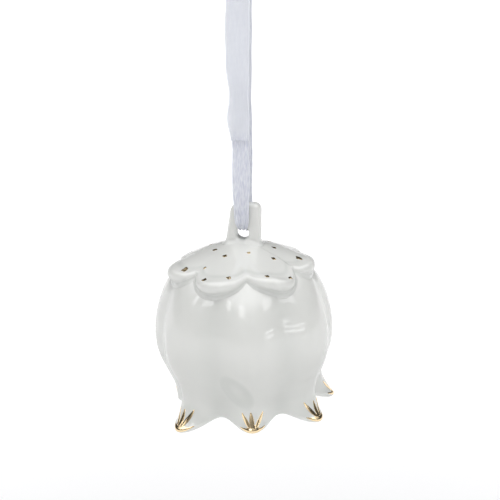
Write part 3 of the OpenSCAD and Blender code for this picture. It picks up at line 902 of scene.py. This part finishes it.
def tip_gilding(material):
    """Gold on each petal's tip: a cap that wraps the hem, and three claw-like strokes."""
    random = np.random.default_rng(11)
    dome, cap_film, sunk = 0.13, 0.07, 0.06
    points, faces, edge = [], [], []

    def put(grid_at, thickness, border):
        """Adds a slab of that thickness, border being 0 inside it and 1 along its edge."""
        grid, under = grid_at(thickness), grid_at(-sunk + 0 * thickness)
        new_points, new_faces = slab(grid, under, sum(len(p) for p in points))
        points.append(new_points)
        faces.extend(new_faces)
        edge.extend(np.concatenate([border.ravel(), border.ravel()]))

    for petal in range(PETALS):
        tip = PETAL_TURN + petal * SWEEP
        for lean, start in STROKES:
            start, lean = start + random.uniform(-0.006, 0.006), lean + random.uniform(-1, 1)
            t, a, rim = claw_stroke(tip, lean, start)
            put(lambda lift: skin(t, a, lift), dome * (1 - rim**2) - sunk * rim**6, rim**2)
        cap_at, rim = hem_cap(petal)
        put(cap_at, cap_film * (1 - rim**4) - sunk * rim**8, rim**6)
    piece = mesh_object("gilded_tips", moved(np.vstack(points), ON_BELL), faces, {"edge": edge})
    finish_piece(piece, "bell", "tip_gilding", material)


# ---- the clapper ----
def clapper_ring(material):
    """A jump ring, bent round until its cut ends meet."""
    low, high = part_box("clapper_link")
    gap, cut_at, sideways = 3, 205, 0.0006
    turn = np.linspace(cut_at + gap, cut_at + 360 - gap, 97)[:, None]
    path = np.hstack([LINK_R * cos_d(turn), sideways * (turn - cut_at - 180), LINK_R * sin_d(turn)])
    points, faces = tube(path, WIRE_R)
    piece = mesh_object("jump_ring", moved(points, mm_round((low + high) / 2)), faces)
    finish_piece(piece, "link", "clapper_link", material)


def clapper_wire(material):
    """A straight wire with an eye on top, its tail wound round the stem."""
    low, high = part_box("clapper_wire")
    axis = Vector(((low.x + high.x) / 2, (low.y + high.y) / 2, high.z))
    eye_middle = -WIRE_R - EYE_R
    stem_top = eye_middle - EYE_R
    stem_bottom = (low.z - high.z) / MM + WIRE_R * WIRE_DOME
    stem = np.linspace(stem_bottom, stem_top - 0.6, 40)[:, None]
    path = [np.hstack([0 * stem, 0 * stem, stem])]
    turn = np.linspace(14, 336, 64)[:, None]
    path.append(np.hstack([0 * turn, EYE_R * sin_d(turn), eye_middle - EYE_R * cos_d(turn)]))
    wound, pitch = 2 * WIRE_R + 0.03, 0.73
    turn = np.linspace(20, 990, 130)[:, None]
    path.append(np.hstack([wound * sin_d(turn), -wound * cos_d(turn), stem_top - pitch * turn / 360]))
    points, faces = tube(np.vstack(path), WIRE_R, 16)
    piece = mesh_object("eyed_wire", moved(points, mm_round(axis)), faces)
    finish_piece(piece, "clapper", "clapper_wire", material)


def clapper_bead(material):
    """A glazed bead, drilled through, with soft shoulders at the hole."""
    low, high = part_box("clapper_bead")
    radius, bore, shoulder = (high.x - low.x) / 2 / MM, 0.42, 0.35
    lean = np.degrees(np.arcsin((bore + shoulder) / (radius - shoulder)))
    ball = [[radius * sin_d(b), radius * cos_d(b)] for b in np.linspace(lean, 180 - lean, 60)]
    shoulder_z = (radius - shoulder) * cos_d(lean)
    top = [[bore + shoulder * (1 - cos_d(b)), shoulder_z + shoulder * sin_d(b)]
           for b in np.linspace(0, 80, 7)]
    bottom = [[r, -z] for r, z in top[::-1]]

    def hand_rolled(r, z, a):
        return r * (1 + 0.006 * sin_d(2 * a + 8 * z)), z

    points, faces = lathe(top + ball + bottom, 72, hand_rolled)
    piece = mesh_object("porcelain_bead", moved(points, mm_round((low + high) / 2)),
                        [f[::-1] for f in faces], {"pool_and_shade": np.zeros(len(points))})
    finish_piece(piece, "clapper", "clapper_bead", material)


def clapper_crimp(material):
    """A short brass tube, pinched flat across its middle to grip the wire."""
    low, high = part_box("clapper_crimp")
    radius, height, bore = (high.x - low.x) / 2 / MM, (high.z - low.z) / MM, WIRE_R + 0.02
    soft, bite_depth, bite_half = 0.22, 0.24, 0.32
    top = [[radius - soft * (1 - cos_d(b)), height / 2 - soft * (1 - sin_d(b))]
           for b in np.linspace(90, 0, 5)]
    bottom = [[r, -z] for r, z in top[::-1]]
    between = np.linspace(0, 1, 10)[1:-1, None]
    straight = np.array(top[-1]) * (1 - between) + np.array(bottom[0]) * between
    profile = top + straight.tolist() + bottom + [[bore, -height / 2], [bore, height / 2]]

    def pinched(r, z, a):
        bite = bite_depth * np.exp(-(z / bite_half)**2) * cos_d(a)**2
        return np.where(r > bore + 0.1, r * (1 - bite), r), z

    points, faces = lathe(profile, 48, pinched)
    piece = mesh_object("crimp", moved(points, mm_round((low + high) / 2)), [f[::-1] for f in faces])
    finish_piece(piece, "clapper", "clapper_crimp", material)


# ---- floor and light ----
def floor():
    """A wide, plain, nearly white floor under the hanging bell, which glows a little further out:
    painted light, whose lack near the bell paints a soft shadow under it.
    """
    half, drop, cells = 5.0, 0.30, 24
    side = np.linspace(-half, half, cells + 1)
    x, y = np.meshgrid(side, side)
    points = np.stack([x, y, 0 * x - drop], -1).reshape(-1, 3)
    made = mesh_object("floor", points, grid_faces(cells + 1, cells + 1, wrap_columns=False))
    material, tree, shader = new_material("floor_paper")
    mottle = noise(tree, object_place(tree), 3)
    colour = blend_colours(tree, mottle, (0.90, 0.90, 0.90), (0.93, 0.93, 0.93))
    tree.links.new(colour.outputs["Color"], shader.inputs["Base Color"])
    away = add_node(tree, "VectorMath", {"operation": "LENGTH"})
    tree.links.new(object_place(tree), away.inputs[0])
    # Painted light: the glow rises from none under the bell to full further out, a painted soft shadow
    # below the bell.
    glow = rescale(tree, away.outputs["Value"], 0, 0.28, from_low=0.42, from_high=0.64)
    tree.links.new(colour.outputs["Color"], shader.inputs["Emission Color"])
    tree.links.new(glow, shader.inputs["Emission Strength"])
    shader.inputs["Roughness"].default_value = 0.8
    made.data.materials.append(material)


def softbox(name, azimuth, elevation, distance, width, height, watts):
    """A rectangular light that faces the bell, azimuth counted from the front to the right."""
    aim = Vector((0, 0, -0.1))
    data = bpy.data.lights.new(name, "AREA")
    data.shape, data.size, data.size_y, data.energy = "RECTANGLE", width, height, watts
    light = bpy.data.objects.new(name, data)
    a, e = math.radians(azimuth), math.radians(elevation)
    away = Vector((math.sin(a) * math.cos(e), -math.cos(a) * math.cos(e), math.sin(e)))
    light.location = aim + away * distance
    light.rotation_euler = away.to_track_quat("Z", "Y").to_euler()
    bpy.context.scene.collection.objects.link(light)


def lights():
    """Windows high in front, and two bars low on the right, which each flute mirrors again."""
    windows = (("window_far_left", -58, 0.14, 0.24), ("window_left", -34, 0.14, 0.27),
               ("window_front", -2, 0.22, 0.40), ("window_right", 66, 0.30, 0.46))
    for name, azimuth, width, watts in windows:
        softbox(name, azimuth, elevation=33, distance=1.0, width=width, height=0.26, watts=watts)
    for name, elevation in (("bar_low", 2.5), ("bar_high", 7)):
        softbox(name, 64, elevation, distance=1.1, width=0.36, height=0.04, watts=0.14)


def ray_towards(tree, ray, direction):
    """How nearly a ray points in a direction, 1 when it does."""
    product = add_node(tree, "VectorMath", {"operation": "DOT_PRODUCT"})
    tree.links.new(ray, product.inputs[0])
    product.inputs[1].default_value = direction
    return product.outputs["Value"]


def world():
    """Bright above, dim along the horizon and in a patch high at the back, which the gold mirrors,
    and a little brighter in a patch low in front."""
    high_at_back, low_in_front = (-0.102, 0.579, 0.809), (0.161, -0.913, 0.375)
    made = bpy.data.worlds.new("studio")
    bpy.context.scene.world = made
    made.use_nodes = True
    tree = made.node_tree
    ray = add_node(tree, "TexCoord").outputs["Generated"]
    height = add_node(tree, "SeparateXYZ", Vector=ray).outputs["Z"]
    sky = add_node(tree, "ValToRGB", Fac=height)
    for at, level in ((0.0, 0.45), (0.17, 0.07), (0.5, 0.07), (0.74, 2.0)):
        stop = sky.color_ramp.elements.new(at)
        stop.color = (level, level, 1.01 * level, 1)
    sky.color_ramp.elements.remove(sky.color_ramp.elements[0])
    sky.color_ramp.elements[-1].color = (2.15, 2.15, 2.16, 1)
    shade = rescale(tree, ray_towards(tree, ray, high_at_back), 1, 0.06, 0.84, 0.93)
    patch = rescale(tree, ray_towards(tree, ray, low_in_front), 0, 1, 0.80, 0.97)
    lit = add_node(tree, "Mix", {"data_type": "RGBA", "blend_type": "ADD"})
    tree.links.new(patch, lit.inputs["Factor"])
    tree.links.new(sky.outputs["Color"], lit.inputs["A"])
    lit.inputs["B"].default_value = (0.22, 0.22, 0.222, 1)
    background = tree.nodes["Background"]
    tree.links.new(lit.outputs["Result"], background.inputs["Color"])
    tree.links.new(shade, background.inputs["Strength"])


make_camera()
ribbon(organza_material())
glaze, lustre, brass = porcelain_material(), gold_material(), brass_material()
bell_shell(glaze)
cap_piece = calyx_cap(glaze)
hanging_lug(glaze)
clapper_loop(glaze)
calyx_dots(cap_piece, lustre)
tip_gilding(lustre)
clapper_ring(brass)
clapper_wire(brass)
clapper_bead(glaze)
clapper_crimp(brass)
floor()
lights()
world()
bpy.context.scene.view_settings.view_transform = "Standard"
